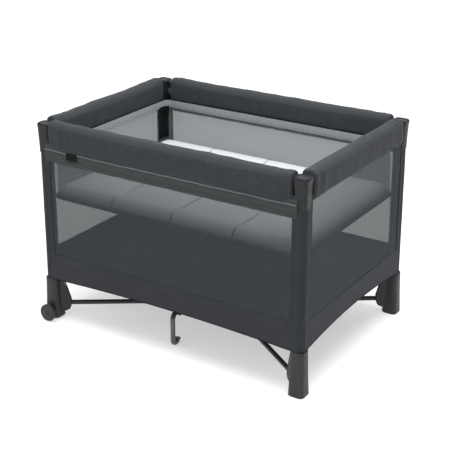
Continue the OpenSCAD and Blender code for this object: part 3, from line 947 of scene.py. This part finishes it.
def make_foot(corner):
    """Flared foot with flat faces and the two fins that hold the base leg."""
    sx, sy = CORNERS[corner]
    centre = Vector((sx * POST_X, sy * POST_Y, 0))
    top, sole = SKIRT_LOW + 0.001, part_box(f"foot_{corner}")[0].z
    # Width, depth, corner radius and height of each level
    levels = [(0.0510, 0.0490, 0.014, sole), (0.0550, 0.0530, 0.015, sole + 0.0025),
              (0.0540, 0.0515, 0.015, sole + 0.016), (0.0500, 0.0475, 0.015, 0.075),
              (0.0475, 0.0455, 0.015, 0.125), (0.0470, 0.0455, 0.015, top - 0.001),
              (0.0462, 0.0447, 0.015, top), (0.0438, 0.0423, 0.014, top),
              (0.0430, 0.0415, 0.014, top - 0.0030)]
    rings = [[centre + p for p in round_ring(w, d, r, z)] for w, d, r, z in levels]
    parts = [loft(f"foot_body_{corner}", rings, FOOT, 32)]
    turn = Matrix.Rotation(math.atan2(-sy * POST_Y, -sx * POST_X), 4, "Z")
    fin = [(0.010, 0.143), (0.030, 0.143), (0.040, 0.112), (0.055, 0.060), (0.056, 0.042),
           (0.050, 0.030), (0.010, 0.010 if sx > 0 else 0.012)]
    for s in (-1, 1):
        to_place = Matrix.Translation(centre) @ turn @ Matrix.Translation((0, s * 0.011, 0))
        parts.append(plate("fin", fin, 0.005, to_place, FOOT))
    bridge = [(0.014, 0.143), (0.0295, 0.143), (0.0385, 0.114), (0.014, 0.114)]
    parts.append(plate("bridge", bridge, 0.020, Matrix.Translation(centre) @ turn, FOOT))
    pivot = Matrix.Translation(centre) @ turn @ Vector((0.042, 0, LEG_Z))
    across = (turn @ Vector((0, 1, 0))) * 0.0138
    parts.append(rod("pin", pivot - across, pivot + across, 0.004, LATCH))
    foot = join(f"foot_shell_{corner}", parts)
    attach(foot, f"corner_{corner}", "foot", f"foot_{corner}")


def make_wheel(corner):
    """Solid wheel with a rounded tread and a ring moulded into its plain outer face."""
    sy = CORNERS[corner][1]
    low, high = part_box(f"wheel_{corner}")
    centre = (low + high) / 2
    radius, half = (high.z - low.z) / 2, (high.y - low.y) / 2
    # Radius and place across the width, from the inner face over the tread to the outer face
    profile = [(0.0042, -half), (radius - 0.006, -half), (radius - 0.0022, -half + 0.0012),
               (radius - 0.0003, -half + 0.0040), (radius, 0.0), (radius - 0.0003, half - 0.0040),
               (radius - 0.0022, half - 0.0012), (radius - 0.0045, half), (radius - 0.0060, half - 0.0002),
               (radius - 0.0068, half - 0.0014), (radius - 0.0076, half - 0.0002),
               (radius - 0.0090, half + 0.0002), (0.0090, half - 0.0006), (0.0042, half - 0.0008)]
    east, up = Vector((1, 0, 0)), Vector((0, 0, 1))
    rings = [circle(centre + Vector((0, sy * w, 0)), east, up, r, 56) for r, w in profile]
    wheel = loft(f"wheel_disc_{corner}", rings, WHEEL, 30, start=False, end=False, closed=True)
    attach(wheel, f"wheel_{corner}", "wheel", f"wheel_{corner}")


def make_lift_strap():
    """Webbing loop on the hub."""
    middle = (STRAP_LOW + STRAP_HIGH) / 2
    width, radius = STRAP_HIGH.y - STRAP_LOW.y, (STRAP_HIGH.x - STRAP_LOW.x) / 2 - 0.001
    height = STRAP_HIGH.z - HUB_TOP

    def at(u, v):
        t = math.pi * u
        return Vector((middle.x + radius * math.cos(t), middle.y + (v - 0.5) * width,
                       HUB_TOP - 0.0004 + (height - 0.0012) * math.sin(t) ** 0.8))

    strap = grid("lift_webbing", 28, 6, at, BLACK, thick=0.0016)
    attach(strap, "hub", "strap", "lift_strap")


def paint_frame():
    """Gives each CAD node that stays in view its finish."""
    clip_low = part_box("centre_foot_b")[1].z - 0.056
    looks = {"post": POST_COAT, "axle": WHEEL, "leg": TUBE, "hub": HUB, "rail": RAIL, "latch": LATCH,
             "button": BUTTON, "bassinet_rods": POST_COAT,
             "centre_foot": centre_foot_coat(linear(74, 78, 80), linear(26, 28, 29), clip_low,
                                             tip=(0.012, 0.2620, 0.030), tip_r=0.013)}
    for name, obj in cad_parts.items():
        for key, look in looks.items():
            if name.startswith(key):
                obj.data.materials.clear()
                obj.data.materials.append(look)


# ---------------------------------------------------------------- floor, light and camera


def make_studio():
    """A pale floor that glows a little, a white world and two soft lamps."""
    look = Look("studio_floor", 0.9, 0.1)
    look.paint(look.mix(look.spread(look.noise(2, 3), 0.3, 0.7),
                        (0.57, 0.57, 0.57, 1), (0.59, 0.59, 0.59, 1)))
    look.shader.inputs["Emission Color"].default_value = (1, 1, 1, 1)
    look.shader.inputs["Emission Strength"].default_value = 0.46
    size = 30.0                                               # half of the floor's side
    ground = add_object("studio_floor", [(-size, -size, 0), (size, -size, 0), (size, size, 0),
                                         (-size, size, 0)], [(0, 1, 2, 3)], look.material)
    world = bpy.data.worlds.new("studio")
    world.use_nodes = True
    world.node_tree.nodes["Background"].inputs["Color"].default_value = (1.0, 1.0, 1.0, 1)
    # White all round, weaker from the right, so that the right-hand faces lie in soft shade
    tree = world.node_tree
    toward = tree.nodes.new("ShaderNodeVectorMath")
    toward.operation = "DOT_PRODUCT"
    toward.inputs[1].default_value = (0.95, -0.20, 0.0)
    tree.links.new(tree.nodes.new("ShaderNodeTexCoord").outputs["Generated"], toward.inputs[0])
    fall = tree.nodes.new("ShaderNodeMapRange")
    for key, number in (("From Min", 0.1), ("From Max", 0.8), ("To Min", 1.0), ("To Max", 0.55)):
        fall.inputs[key].default_value = number
    tree.links.new(toward.outputs["Value"], fall.inputs["Value"])
    tree.links.new(fall.outputs["Result"], tree.nodes["Background"].inputs["Strength"])
    bpy.context.scene.world = world

    def lamp(name, where, aim, size, watts):
        light = bpy.data.lights.new(name, "AREA")
        light.shape, light.size, light.energy = "DISK", size, watts
        obj = bpy.data.objects.new(name, light)
        obj.location = where
        obj.rotation_euler = (Vector(aim) - Vector(where)).to_track_quat("-Z", "Y").to_euler()
        bpy.context.scene.collection.objects.link(obj)

    lamp("top", (0.4, -0.3, 3.2), (0, 0, 0.3), 3.0, 140)
    lamp("front", (0.4, -3.2, 2.2), (0, 0, 0.4), 2.4, 8)
    bpy.context.scene.view_settings.view_transform = "Standard"


def make_camera():
    """In front of the right-hand end and above it: yaw is from +Y towards +X, pitch is downwards."""
    yaw, pitch = math.radians(-32.84), math.radians(18.93)
    camera = bpy.data.cameras.new("camera")
    camera.sensor_width, camera.lens, camera.shift_y = 36.0, 89.04, -0.15
    camera.clip_start, camera.clip_end = 0.05, 200
    obj = bpy.data.objects.new("camera", camera)
    obj.location = (1.8949, -2.9309, 1.7694)
    obj.rotation_euler = (math.pi / 2 - pitch, 0, -yaw)
    bpy.context.scene.collection.objects.link(obj)
    bpy.context.scene.camera = obj


make_camera()
make_rolls()
for corner in CORNERS:
    make_side(corner, "x")
    make_side(corner, "y")
    make_sleeve(corner)
    make_floor_cloth(corner)
    make_cap(corner)
    make_foot(corner)
for corner in ("fl", "bl"):
    make_wheel(corner)
make_tag()
make_bassinet()
make_mattress()
make_lift_strap()
paint_frame()
make_studio()
